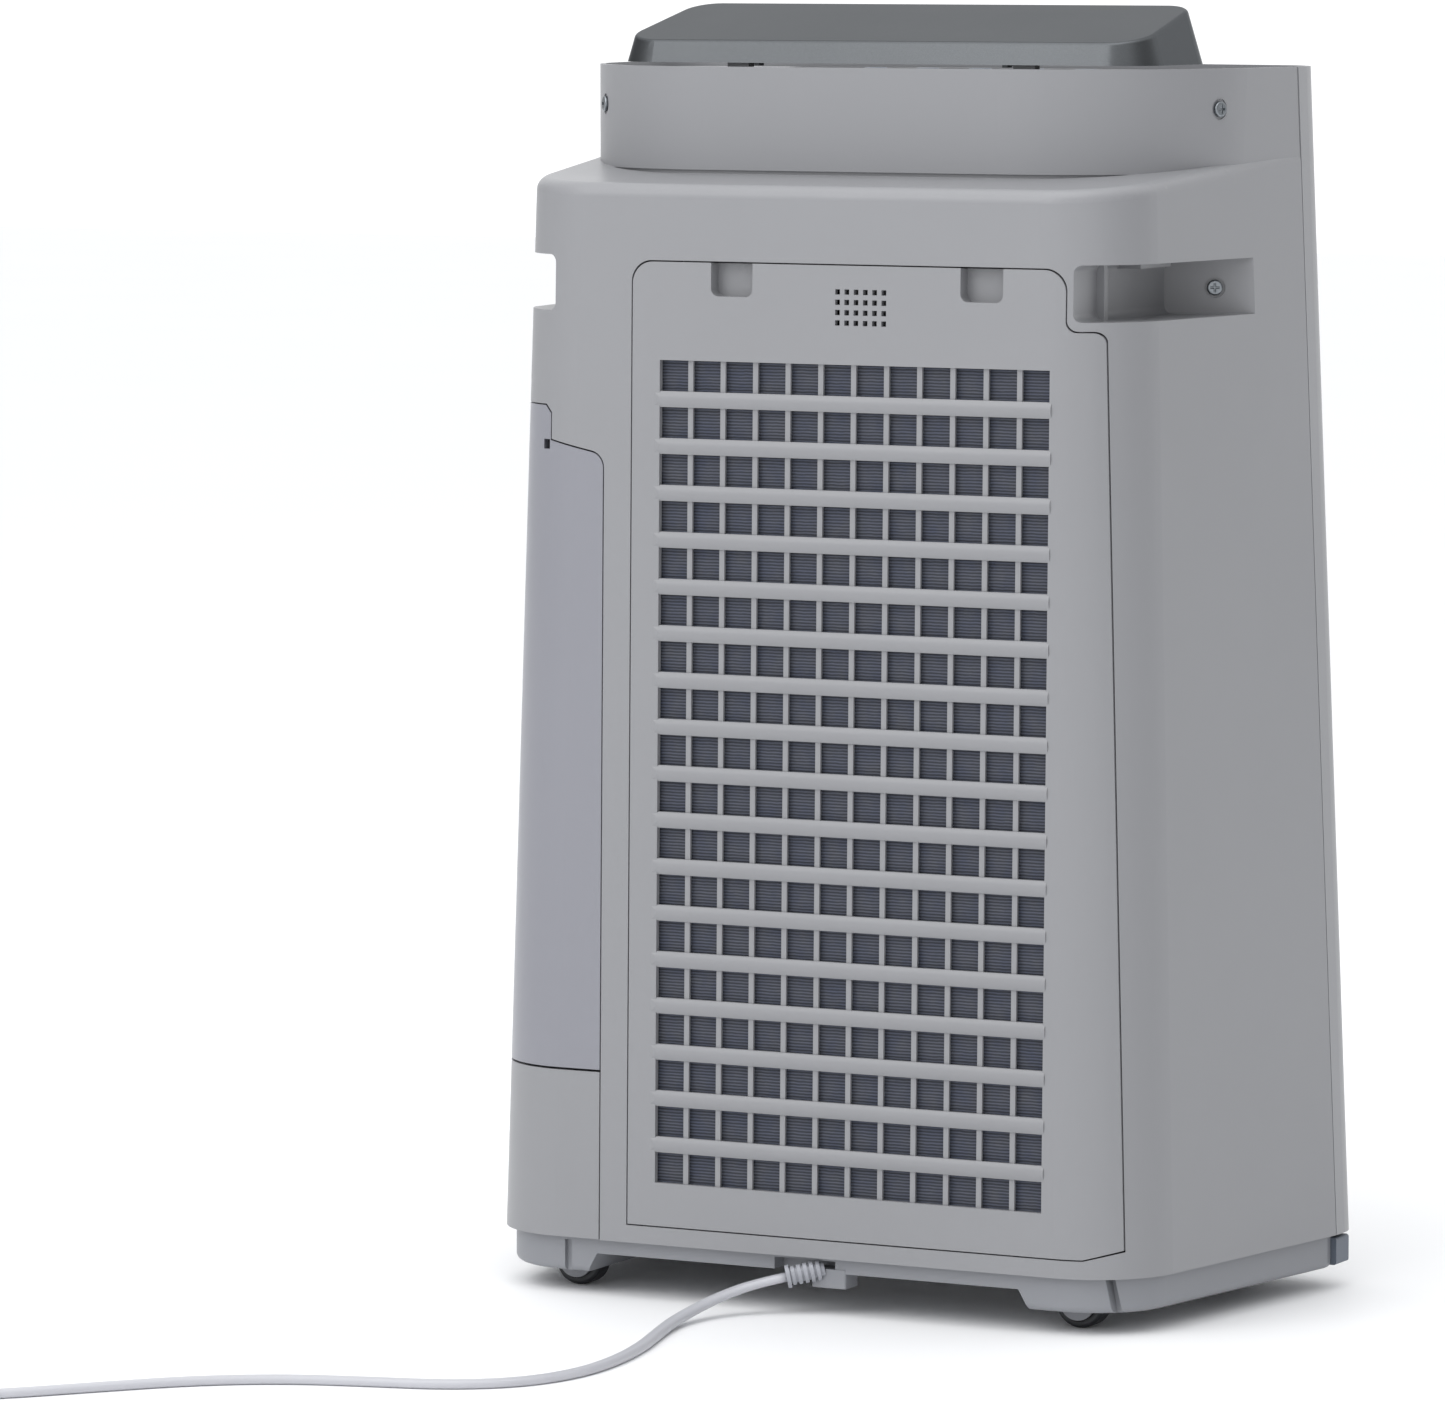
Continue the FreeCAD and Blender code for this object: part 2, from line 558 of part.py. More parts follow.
# ---- tray, float and tank -------------------------------------------------------------------
def make_tray():
    cover = body_solid(RIM_Z, TRAY_SPLIT, 0).cut(body_solid(RIM_Z - 1, TRAY_SPLIT + 1, 3))
    cover = cover.common(box(TANK_X, 260, TANK_Y, REAR_Y + 5, RIM_Z + 0.3, TRAY_SPLIT))
    seat = body_solid(RIM_Z, 70, 2.5).common(box(TANK_X, 260, TANK_Y, REAR_Y + 5, 33, 62))
    hollow = box(TANK_X + 3, 260, TANK_Y + 3, REAR_Y - 10, 36, 70)
    seat = seat.cut(body_solid(RIM_Z - 1, 71, 6).common(hollow))
    pan = box(-122, TANK_X + 1, TANK_Y, 56, 33, 60).cut(box(-119, TANK_X + 4, TANK_Y + 3, 53, 36, 70))
    mouth = box(TANK_X - 2, TANK_X + 5, TANK_Y + 6, 50, 37, 56)
    posts = []
    for y0, y1 in ((WHEEL_Y0 - 7, WHEEL_Y0 - 1.2), (WHEEL_Y1 + 1.2, WHEEL_Y1 + 6)):
        post = box(WHEEL_X - 7, WHEEL_X + 7, y0, y1, 35, WHEEL_Z + 5)
        posts.append(post)
    spindle = rod(4, (WHEEL_X, WHEEL_Y0 - 2, WHEEL_Z), (WHEEL_X, WHEEL_Y1 + 2, WHEEL_Z))
    seat_ribs = [box(TANK_X + 1, 168, y, y + 3, 36, TRAY_SPLIT - 1) for y in (-6, 80)]
    return join([cover, seat.cut(mouth), pan.cut(mouth)] + posts + [spindle] + seat_ribs)


FLOAT_Y = 2.0


def make_float():
    pod = box(60, 92, FLOAT_Y - 10, FLOAT_Y + 8, 40, 54)
    pod = rounded(pod, 3, upright)
    arm = box(91, 103, FLOAT_Y - 3, FLOAT_Y + 3, 48, 52)
    eye = rod(4, (103, FLOAT_Y - 3, 50), (103, FLOAT_Y + 3, 50))
    return join([pod, arm, eye]).cut(rod(1.5 + RUNNING_GAP, (103, FLOAT_Y - 9, 50), (103, FLOAT_Y + 9, 50)))


def make_float_pin():
    pin = rod(1.5, (103, FLOAT_Y - 7, 50), (103, FLOAT_Y + 7, 50))
    ears = [box(99, 107, FLOAT_Y + s * 5.5 - 1.2, FLOAT_Y + s * 5.5 + 1.2, 36, 53) for s in (-1, 1)]
    return join([pin] + ears)


CAP_X, CAP_Y, CAP_R = 146.0, 40.0, 22.0
GRIP_X, GRIP_Y0, GRIP_Y1, GRIP_Z = 165.0, 16.0, 66.0, 438.0


def make_water_tank():
    shape = tank_prism(0, TANK_Z0, TANK_Z1, TANK_Y)
    outer = body_solid(TANK_Z0 - 5, 470, 0).common(shape)
    inner = body_solid(TANK_Z0 - 5, 470, 2.6)
    hollow = inner.common(tank_prism(-2.6, TANK_Z0 + 2.6, TANK_Z1, TANK_Y + 2.6))
    grip_low = GRIP_Z - 16
    recess = box(GRIP_X - 14, 260, GRIP_Y0, GRIP_Y1, grip_low, TANK_Z1 + 5)
    pocket = box(GRIP_X - 16.6, 260, GRIP_Y0 - 2.6, GRIP_Y1 + 2.6, grip_low - 2.6, TANK_Z1 + 5)
    slot_wall = box(144.0, 153.5, 67, REAR_Y + 5, TANK_Z1 - 25, TANK_Z1 - 14)
    tank = outer.cut(hollow.cut([pocket, slot_wall])).cut(recess)
    well = rod(CAP_R + 3, (CAP_X, CAP_Y, TANK_Z0 - 1), (CAP_X, CAP_Y, TANK_Z0 + 20))
    jacket = rod(CAP_R + 5.4, (CAP_X, CAP_Y, TANK_Z0), (CAP_X, CAP_Y, TANK_Z0 + 22.4))
    spout = ring(CAP_R - 2, CAP_R - 5, (CAP_X, CAP_Y, TANK_Z0 + 8), (CAP_X, CAP_Y, TANK_Z0 + 21))
    mouth = rod(CAP_R - 5, (CAP_X, CAP_Y, TANK_Z0 + 18), (CAP_X, CAP_Y, TANK_Z0 + 24))
    tank = tank.fuse(jacket).cut(well).fuse(spout).cut(mouth)
    slot = box(146.6, 151.0, 70, REAR_Y, TANK_Z1 - 22, TANK_Z1 - 17)
    return tank.cut(slot).removeSplitter()


def make_tank_grip():
    """The hand grip bar across the top of the tank, behind its tab."""
    bar = box(GRIP_X, GRIP_X + 8, GRIP_Y0, GRIP_Y1, GRIP_Z, GRIP_Z + 9)
    return rounded(bar, 2.5, along_y)


def make_tank_cap():
    base = (CAP_X, CAP_Y, TANK_Z0 + 1.5)
    cup = ring(CAP_R + 1, CAP_R - 1.9, (CAP_X, CAP_Y, TANK_Z0 + 3.5), (CAP_X, CAP_Y, TANK_Z0 + 16))
    disc = ring(CAP_R + 1, 5, base, (CAP_X, CAP_Y, TANK_Z0 + 3.6))
    ribs = []
    for i in range(16):
        rib = box(CAP_X + CAP_R + 0.5, CAP_X + CAP_R + 1.8, CAP_Y - 1, CAP_Y + 1, TANK_Z0 + 2, TANK_Z0 + 15)
        rib.rotate(V(CAP_X, CAP_Y, 0), V(0, 0, 1), i * 22.5)
        ribs.append(rib)
    return join([cup, disc] + ribs)


def make_cap_seal():
    return ring(CAP_R - 2.1, CAP_R - 5, (CAP_X, CAP_Y, TANK_Z0 + 4.2), (CAP_X, CAP_Y, TANK_Z0 + 7.6))


def make_valve_pin():
    stem = rod(2.2, (CAP_X, CAP_Y, TANK_Z0 + 0.2), (CAP_X, CAP_Y, TANK_Z0 + 12))
    plate = rod(7.5, (CAP_X, CAP_Y, TANK_Z0 + 9), (CAP_X, CAP_Y, TANK_Z0 + 11))
    return join([stem, plate])


# ---- fan ------------------------------------------------------------------------------------
def make_fan_wheel():
    back = ring(FAN_R, 4 + RUNNING_GAP, (FAN_X, FAN_Y0, FAN_Z), (FAN_X, FAN_Y0 + 2.4, FAN_Z))
    hub = ring(14, 4 + RUNNING_GAP, (FAN_X, FAN_Y0, FAN_Z), (FAN_X, FAN_Y0 + 22, FAN_Z))
    hoop = ring(FAN_R, FAN_EYE_R, (FAN_X, FAN_Y1 - 2.4, FAN_Z), (FAN_X, FAN_Y1, FAN_Z))
    blades = []
    for i in range(FAN_BLADES):
        blade = box(FAN_X + FAN_EYE_R + 1, FAN_X + FAN_R - 1, FAN_Y0 + 1, FAN_Y1 - 1,
                    FAN_Z - 0.9, FAN_Z + 0.9)
        blade.rotate(V(FAN_X + FAN_R - 1, 0, FAN_Z), V(0, 1, 0), -24)
        blade.rotate(V(FAN_X, 0, FAN_Z), V(0, 1, 0), i * 360.0 / FAN_BLADES)
        blades.append(blade)
    return join([back, hub, hoop] + blades)


def make_fan_motor():
    case = rod(40, (FAN_X, FAN_Y0 - 24, FAN_Z), (FAN_X, FAN_Y0 - 5, FAN_Z))
    case = rounded(case, 3, lambda e: True)
    shaft = rod(4, (FAN_X, FAN_Y0 - 6, FAN_Z), (FAN_X, FAN_Y0 + 26, FAN_Z))
    return join([case, shaft])


def make_fan_nut():
    start = V(FAN_X, FAN_Y0 + 22.6, FAN_Z)
    points = []
    for i in range(6):
        a = math.radians(i * 60)
        points.append((FAN_X + 7 * math.cos(a), FAN_Z + 7 * math.sin(a)))
    return prism(points, "Y", start.y, start.y + 5).cut(rod(4, start - V(0, 1, 0), start + V(0, 7, 0)))


def scroll_wire(y, inset):
    """A snail-shell outline about the fan, opening upwards into the outlet duct."""
    def at(angle, r):
        a = math.radians(angle)
        return V(FAN_X + (r - inset) * math.cos(a), y, FAN_Z + (r - inset) * math.sin(a))
    # angles run clockwise seen from the front, from the cut-off to the duct's outer wall
    left = at(180, 116)
    low_left = at(225, 121)
    low = at(270, 126)
    low_right = at(315, 132)
    right = at(360, 139)
    top_z = 566.0
    duct_right = V(right.x, y, top_z)
    duct_left = V(left.x, y, top_z)
    return Part.Wire([
        Part.Arc(left, low_left, low).toShape(),
        Part.Arc(low, low_right, right).toShape(),
        Part.LineSegment(right, duct_right).toShape(),
        Part.LineSegment(duct_right, duct_left).toShape(),
        Part.LineSegment(duct_left, left).toShape(),
    ])


def make_scroll_housing():
    y0, y1 = FAN_Y0 - 4, FAN_Y1 + 6
    outer = Part.Face(scroll_wire(y0, 0)).extrude(V(0, y1 - y0, 0))
    inner = Part.Face(scroll_wire(y0 + 2.4, 2.4)).extrude(V(0, y1 - y0 - 4.8, 0))
    shell = outer.cut(inner)
    eye = rod(FAN_EYE_R + 2, (FAN_X, y1 - 4, FAN_Z), (FAN_X, y1 + 1, FAN_Z))
    motor_hole = rod(30, (FAN_X, y0 - 1, FAN_Z), (FAN_X, y0 + 4, FAN_Z))
    mouth = box(FAN_X - 113, FAN_X + 136, y0 + 2.4, y1 - 2.4, 560, 570)
    return shell.cut([eye, motor_hole, mouth])


def make_outlet_duct():
    """Leads the air from the fan scroll up and back to the outlet under the louvre."""
    low = (FAN_X - 116, FAN_X + 139, FAN_Y0 - 4, FAN_Y1 + 6, 566.4)
    high = (-134.0, 134.0, -46.0, 38.0, 588.0)

    def loop(b, inset):
        x0, x1, y0, y1, z = b
        x0, x1, y0, y1 = x0 + inset, x1 - inset, y0 + inset, y1 - inset
        return Part.makePolygon([V(x0, y0, z), V(x1, y0, z), V(x1, y1, z), V(x0, y1, z), V(x0, y0, z)])
    outer = Part.makeLoft([loop(low, 0), loop(high, 0)], True, True)
    inner = Part.makeLoft([loop(low, 2.2), loop(high, 2.2)], True, True)
    return outer.cut(inner)


def make_ioniser():
    case = box(-62, -18, 50, 62, 556, 580).cut(box(-58, -22, 48, 52, 560, 576))
    needles = [rod(0.9, (x, 51, 568), (x, 60, 568)) for x in (-50, -30)]
    return join([case] + needles)


# ---- louvre and top -------------------------------------------------------------------------
def louvre_wire(z, inset):
    """The louvre's plan: a rectangle with round corners."""
    r = LOUVRE_CORNER - inset
    x = LOUVRE_HALF - LOUVRE_CORNER
    rear = LOUVRE_REAR_Y - LOUVRE_CORNER
    front = LOUVRE_FRONT_Y + LOUVRE_CORNER
    d = r * math.sqrt(0.5)
    right = [
        Part.Arc(V(x, rear + r, z), V(x + d, rear + d, z), V(x + r, rear, z)).toShape(),
        line(x + r, rear, x + r, front, z),
        Part.Arc(V(x + r, front, z), V(x + d, front - d, z), V(x, front - r, z)).toShape(),
    ]
    left = [e.mirror(V(0, 0, 0), V(1, 0, 0)) for e in right]
    ends = [line(-x, rear + r, x, rear + r, z), line(-x, front - r, x, front - r, z)]
    return Part.Wire(Part.__sortEdges__(ends + right + left))


def louvre_cap(z0, inset, drop):
    """The tapering cap under the tilted top plane, which is lowered by drop."""
    solid = loft([louvre_wire(z0, inset), louvre_wire(z0 + LOUVRE_LOFT, inset + LOUVRE_DRAFT)])
    slope = math.tan(math.radians(LOUVRE_TILT))

    def z_at(y):
        return LOUVRE_CREASE_Z - drop + slope * (LOUVRE_REAR_Y - y)
    above = prism([(90, z_at(90)), (-90, z_at(-90)), (-90, 800), (90, 800)], "X", -300, 300)
    return solid.cut(above)


def make_louvre():
    outer = louvre_cap(LOUVRE_HINGE_Z - 1.5, 0, 0)

    def crease(edge):
        return edge.BoundBox.ZMin > LOUVRE_HINGE_Z + 4 and not upright(edge) and on_top(edge)

    def on_top(edge):
        slope = math.tan(math.radians(LOUVRE_TILT))
        p = edge.valueAt((edge.FirstParameter + edge.LastParameter) / 2)
        return abs(p.z - (LOUVRE_CREASE_Z + slope * (LOUVRE_REAR_Y - p.y))) < 0.2
    outer = rounded(outer, 2.2, crease)
    inner = louvre_cap(LOUVRE_HINGE_Z - 2.5, 2.4, 2.6)
    return outer.cut(inner)


def make_louvre_pins():
    """Two short pins on ears that hang from the louvre's top skin."""
    arms = []
    for s in (-1, 1):
        pin = rod(LOUVRE_PIN_R, (s * 84, LOUVRE_HINGE_Y, LOUVRE_HINGE_Z),
                  (s * 70, LOUVRE_HINGE_Y, LOUVRE_HINGE_Z))
        x0, x1 = min(s * 68, s * 71), max(s * 68, s * 71)
        ear = box(x0, x1, LOUVRE_HINGE_Y - 3, LOUVRE_HINGE_Y + 2.2, LOUVRE_HINGE_Z - 3, LOUVRE_CREASE_Z + 0.2)
        arms.append(join([pin, ear]))
    return Part.makeCompound(arms)


def make_top_cover():
    """The deck inside the upper rim, with the air outlet and the opening for the control panel."""
    inset = WALL + SEAM
    deck = deck_solid(SKIRT_TOP_Z, DECK_Z + 4, inset).cut(deck_solid(SKIRT_TOP_Z - 1, DECK_Z, inset + 2))
    opening = loft([louvre_wire(DECK_Z - 30, -1.5), louvre_wire(DECK_Z + 30, -1.5)])
    panel_hole = box(-112, 112, -104, -62, DECK_Z - 1, DECK_Z + 6)
    sockets = []
    for s in (-1, 1):
        x0, x1 = min(s * 74, s * 86), max(s * 74, s * 86)
        lug = box(x0, x1, LOUVRE_HINGE_Y - 3.5, LOUVRE_HINGE_Y + 2.2, DECK_Z - 0.6, LOUVRE_HINGE_Z + 3.4)
        arm = box(x0, x1, LOUVRE_HINGE_Y + 2, LOUVRE_REAR_Y + 3, DECK_Z - 0.6, DECK_Z + 2.4)
        bore = rod(LOUVRE_PIN_R + RUNNING_GAP, (s * 60, LOUVRE_HINGE_Y, LOUVRE_HINGE_Z),
                   (s * 100, LOUVRE_HINGE_Y, LOUVRE_HINGE_Z))
        sockets.append(lug.fuse(arm).cut(bore))
    return join([deck.cut([opening, panel_hole])] + sockets)


def make_outlet_grille():
    frame = box(-134, 134, -46, 38, 588.2, 592.4).cut(box(-130, 130, -42, 34, 588, 593))
    bars = [box(-131, 131, y, y + 1.8, 588.8, 592.0) for y in range(-35, 30, 8)]
    ties = [box(x - 1, x + 1, -43, 35, 588.8, 592.0) for x in range(-120, 121, 40)]
    return join([frame] + bars + ties)


def make_louvre_motor():
    case = rod(9, (112, 46, 603), (96, 46, 603))
    shaft = rod(2.5, (97, 46, 603), (88, 46, 603))
    return join([case, shaft, box(98, 100, 32, 50, 592.6, 606)])


def make_control_panel():
    plate = box(-111.3, 111.3, -103.3, -62.7, DECK_Z + 0.6, DECK_Z + 3.6)
    holes = [rod(6.4, (x, BUTTON_Y, DECK_Z), (x, BUTTON_Y, DECK_Z + 6)) for x in BUTTON_X]
    window = box(-60, 60, -76, -68, DECK_Z + 0.4, DECK_Z + 6)
    lamps = [rod(1.3, (x, BUTTON_Y - 12, DECK_Z), (x, BUTTON_Y - 12, DECK_Z + 6)) for x in BUTTON_X]
    return plate.cut(holes + lamps + [window])


def make_display_lens():
    return box(-59.8, 59.8, -75.8, -68.2, DECK_Z + 0.8, DECK_Z + 3.4)


def make_button(x):
    cap = rod(6.1, (x, BUTTON_Y, DECK_Z - 1.4), (x, BUTTON_Y, DECK_Z + 4.4))
    cap = rounded(cap, 0.8, lambda e: e.CenterOfMass.z > DECK_Z + 4)
    flange = rod(7.6, (x, BUTTON_Y, DECK_Z - 2.4), (x, BUTTON_Y, DECK_Z - 1.2))
    return cap.fuse(flange)


def make_control_board():
    board = box(-108, 108, -101, -65, DECK_Z - 8.0, DECK_Z - 6.4)
    chips = [box(x - 6, x + 6, -97, -89, DECK_Z - 6.6, DECK_Z - 4.6) for x in (-90, 88)]
    switches = [box(x - 3, x + 3, BUTTON_Y - 3, BUTTON_Y + 3, DECK_Z - 6.6, DECK_Z - 4.0) for x in BUTTON_X]
    return join([board] + chips + switches)


# ---- front, base and running gear -----------------------------------------------------------
def make_front_panel():
    outer = front_solid(RIM_Z, NECK_Z, 0).cut(box(-300, 300, SPLIT_Y - SEAM * 2, 10, 0, 700))
    return outer.cut(front_solid(RIM_Z - 1, NECK_Z + 1, WALL))


def base_solid(z0, z1, inset):
    """The base's plan, which follows the casing's lower rim all round."""
    outline = Part.Wire(body_edges(RIM_Z, inset) + front_edges(RIM_Z, half_width(RIM_Z) - inset, inset))
    solid = Part.Face(outline).extrude(V(0, 0, z1 - z0))
    solid.translate(V(0, 0, z0 - RIM_Z))
    return solid


def corners_of(x, y):
    return [(sx, sy, sx * x, sy * y) for sx in (-1, 1) for sy in (-1, 1)]


def base_hollow():
    """The raised middle of the underside, with sloping sides down to the castor housings."""
    middle = box(-HOUSING_X, HOUSING_X, -140, 140, 0, STRIP_Z)
    ramps = []
    for s in (-1, 1):
        points = [(s * (HOUSING_X - 1), 0), (s * (HOUSING_X - 1), STRIP_Z), (s * HOUSING_X, STRIP_Z),
                  (s * (HOUSING_X + 12), 0)]
        ramps.append(prism(points, "Y", -140, 140))
    return [middle] + ramps


def housing_grooves():
    """The moulded notches across the back of the two rear castor housings."""
    right = prism([(-162, 30), (-165.6, 9), (-169.6, 9), (-166, 30)], "Y", 99.5, 125)
    left = box(132.5, 136.5, 111.5, 125, 9, 27)
    return [right, left]


def stopper_recesses():
    tools = []
    for s in (-1, 1):
        x = s * STOPPER_X
        low, high = min(x - 5, x + s * 30), max(x + 5, x + s * 30)
        tools.append(box(low, high, STOPPER_Y - 8.6, STOPPER_Y + 8.6, 0, 27.6))
        tools.append(rod(STOPPER_PIN_R + RUNNING_GAP, (x, STOPPER_Y - 12, STOPPER_Z),
                         (x, STOPPER_Y + 12, STOPPER_Z)))
    return tools


def make_base():
    plinth = base_solid(SKIRT_Z, RIM_Z - 0.4, BASE_INSET)
    plinth = rounded(plinth, 3.5, lambda e: e.BoundBox.ZMax < SKIRT_Z + 0.01)
    base = plinth.cut(base_hollow()).fuse(base_solid(RIM_Z - 3, 33, BASE_INSET))
    base = base.cut(box(-170, 170, -92, 100, RIM_Z - 0.6, 40))
    wells = []
    guards = []
    for sx, sy, x, y in corners_of(CASTOR_X, CASTOR_Y):
        wells.append(box(x - 15.5, x + 15.5, y - 8.5, y + 8.5, 0, 27.6))
        wells.append(rod(AXLE_R + 0.01, (x, y - 12, CASTOR_R), (x, y + 12, CASTOR_R)))
        disc = rod(9.6, (x, y + sy * 7.1, CASTOR_R + 0.8), (x, y + sy * 8.9, CASTOR_R + 0.8))
        guards.append(disc.cut(rod(AXLE_R + 0.01, (x, y - 12, CASTOR_R), (x, y + 12, CASTOR_R))))
    base = base.cut(wells + stopper_recesses() + housing_grooves())
    base = base.cut(box(-17, 17, 104, 125, 10, 27))
    block = box(-23, -4, 100, 114.5, 13.5, STRIP_Z + 2)
    return join([base, rounded(block, 1.2, upright)] + guards)


def make_castor_axles():
    axles = []
    for sx in (-1, 1):
        for sy in (-1, 1):
            x = sx * CASTOR_X
            y = sy * CASTOR_Y
            axles.append(rod(AXLE_R, (x, y - 11.5, CASTOR_R), (x, y + 11.5, CASTOR_R)))
    return Part.makeCompound(axles)


def make_castor(sx, sy):
    x = sx * CASTOR_X
    y = sy * CASTOR_Y
    half = CASTOR_WIDE / 2
    wheel = rod(CASTOR_R, (x, y - half, CASTOR_R), (x, y + half, CASTOR_R))
    wheel = rounded(wheel, 2.0, lambda e: e.BoundBox.XLength > CASTOR_R)
    wheel = wheel.cut(rod(AXLE_R + RUNNING_GAP, (x, y - 20, CASTOR_R), (x, y + 20, CASTOR_R)))
    dish = ring(CASTOR_R - 3.2, 4.0, (x, y + half - 1.6, CASTOR_R), (x, y + half + 1, CASTOR_R))
    return wheel.cut(dish)


def make_stopper(side):
    arm = box(192, 203.5, STOPPER_Y - 8, STOPPER_Y + 8, STOPPER_Z - 3, STOPPER_Z + 3)
    tab = box(203, 208.5, STOPPER_Y - 8, STOPPER_Y + 8, 12.5, 26.5)
    pin = rod(STOPPER_PIN_R, (STOPPER_X, STOPPER_Y - 11, STOPPER_Z), (STOPPER_X, STOPPER_Y + 11, STOPPER_Z))
    lever = join([rounded(tab, 1.5, along_y), arm, pin])
    return lever if side > 0 else mirror_x(lever)


# ---- electrics ------------------------------------------------------------------------------
def make_power_board():
    board = box(150, 152, -50, -32, 140, 330)
    blocks = [box(135, 150.5, -48, -34, 150 + 34 * i, 172 + 34 * i) for i in range(5)]
    return join([board] + blocks)


def make_odour_sensor():
    case = box(-52, -8, 96, 103.5, 490, 516)
    return rounded(case, 2.0, along_y)


def make_strain_relief():
    way = RELIEF_END - RELIEF_START
    unit = way * (1.0 / way.Length)
    core = rod(3.9, RELIEF_START, RELIEF_END)
    collars = []
    for i in range(5):
        start = RELIEF_START + unit * (2.2 + i * 3.2)
        collars.append(rod(5.4 - 0.15 * i, start, start + unit * 1.9))
    flange = rod(5.8, RELIEF_END - unit * 1.9, RELIEF_END)
    return join([core, flange] + collars)


def cord_path():
    """Straight runs joined by tangent arcs, and the radius of each arc."""
    points = [V(*p) for p in CORD_ROUTE]
    edges = []
    radii = []
    here = points[0]
    for before, corner, after in zip(points, points[1:], points[2:]):
        back = (before - corner).normalize()
        ahead = (after - corner).normalize()
        turn = math.pi - back.getAngle(ahead)
        shorter = min((before - corner).Length, (after - corner).Length)
        reach = 0.45 * shorter
        radius = reach / math.tan(turn / 2)
        start = corner + back * reach
        end = corner + ahead * reach
        inward = (back + ahead).normalize()
        middle = corner + inward * (radius / math.cos(turn / 2) - radius)
        edges.append(Part.LineSegment(here, start).toShape())
        edges.append(Part.Arc(start, middle, end).toShape())
        radii.append(radius)
        here = end
    edges.append(Part.LineSegment(here, points[-1]).toShape())
    return Part.Wire(edges), radii


def make_power_cord():
    path, radii = cord_path()
    way = V(*CORD_ROUTE[1]) - V(*CORD_ROUTE[0])
    circle = Part.Wire(Part.makeCircle(CORD_R, V(*CORD_ROUTE[0]), way))
    tube = path.makePipeShell([circle], True, False)
    print("cord arc radii", [round(r, 1) for r in radii])
    print("cord length", round(path.Length, 1), "volume ratio",
          round(tube.Volume / (math.pi * CORD_R ** 2 * path.Length), 4))
    return tube


def make_cord_coil():
    x, y = COIL_CENTRE
    outer = Part.makeCylinder(COIL_R + COIL_TUBE_R, COIL_HIGH, V(x, y, 0.0))
    outer = outer.makeFillet(5, outer.Edges[:1] + outer.Edges[2:])
    return outer.cut(Part.makeCylinder(COIL_R - COIL_TUBE_R, COIL_HIGH + 2, V(x, y, -1)))


def make_power_plug():
    x, y = COIL_CENTRE
    x0 = x + COIL_R + COIL_TUBE_R + 1
    body = box(x0, x0 + 18, y - 14, y + 14, 0.3, 20)
    body = rounded(body, 4, upright)
    pins = [box(x0 + 8.3, x0 + 9.8, y + 12, y + 31, z, z + 6) for z in (1.2, 12.9)]
    neck = rod(5, (x0 + 9, y - 13, 10), (x0 + 9, y - 24, 10))
    return join([body, neck] + pins)


# ---- all parts ------------------------------------------------------------------------------
def save(name, shape):
    shape.exportStep("parts/" + name + ".step")
    print(name, len(shape.Solids), shape.isValid(), round(shape.Volume / 1000, 1))


os.makedirs("parts", exist_ok=True)
PARTS = {
    "rear_cabinet": make_rear_cabinet, "cabinet_screws": make_cabinet_screws, "front_panel": make_front_panel,
    "base": make_base, "castor_axles": make_castor_axles, "rear_panel": make_rear_panel,
    "prefilter_mesh": make_prefilter_mesh, "carbon_filter": make_carbon_filter, "hepa_frame": make_hepa_frame,
    "hepa_pleats": make_hepa_pleats, "filter_frame": make_filter_frame, "wheel_frame": make_wheel_frame,
    "wheel_media": make_wheel_media, "drive_pinion": make_drive_pinion, "wheel_motor": make_wheel_motor,
    "humidifier_tray": make_tray, "float": make_float, "float_pin": make_float_pin,
    "water_tank": make_water_tank, "tank_grip": make_tank_grip, "tank_cap": make_tank_cap,
    "cap_seal": make_cap_seal, "valve_pin": make_valve_pin, "fan_wheel": make_fan_wheel,
    "fan_nut": make_fan_nut, "fan_motor": make_fan_motor, "scroll_housing": make_scroll_housing,
    "outlet_duct": make_outlet_duct, "ioniser": make_ioniser, "louvre": make_louvre,
    "louvre_pins": make_louvre_pins, "louvre_motor": make_louvre_motor, "top_cover": make_top_cover,
    "outlet_grille": make_outlet_grille, "control_panel": make_control_panel,
    "display_lens": make_display_lens, "control_board": make_control_board, "power_board": make_power_board,
    "odour_sensor": make_odour_sensor, "strain_relief": make_strain_relief, "power_cord": make_power_cord,
    "cord_coil": make_cord_coil, "power_plug": make_power_plug,
}
for part_name, maker in PARTS.items():
    save(part_name, maker())
for number, button_x in enumerate(BUTTON_X, 1):
    save("button_%d" % number, make_button(button_x))
CASTORS = {"castor_rear_right": (-1, 1), "castor_rear_left": (1, 1), "castor_front_right": (-1, -1),
           "castor_front_left": (1, -1)}
for part_name, (x_side, y_side) in CASTORS.items():
    save(part_name, make_castor(x_side, y_side))
save("stopper_right", make_stopper(-1))
save("stopper_left", make_stopper(1))
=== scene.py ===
"""Looks of the humidifying air purifier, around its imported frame.

Metres, +Z up, front -Y. The cord's measures are in millimetres and are scaled by MM.
"""

import json
import math

